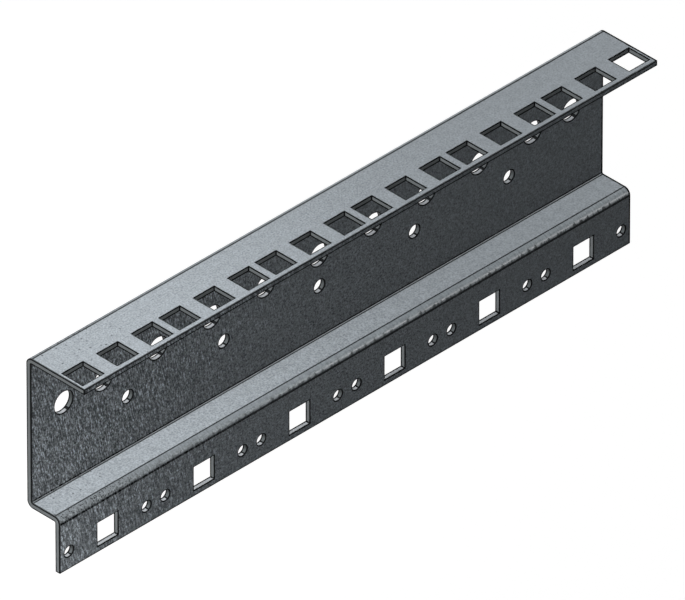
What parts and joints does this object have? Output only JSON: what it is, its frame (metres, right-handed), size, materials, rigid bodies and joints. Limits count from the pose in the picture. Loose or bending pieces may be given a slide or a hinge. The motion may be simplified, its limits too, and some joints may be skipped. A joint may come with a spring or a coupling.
{
  "type": "rack rail",
  "caption": "Stepped steel rail folded from sheet, with square cage-nut holes along both flanges and round bolt holes along its web, for mounting rack equipment.",
  "frame": {"origin": "middle of the web's back face, the lowest face as stored, under the centre of the box", "axes": "+X along the rail, +Y up the section from the lower flange to the front flange, +Z forward from the web, the way both flanges stand"},
  "size_m": [0.2664, 0.08, 0.027],
  "materials": {
    "steel": "satin grey steel with a fine grain"
  },
  "bodies": {
    "root": {"rack_rail": "steel"}
  },
  "joints": []
}
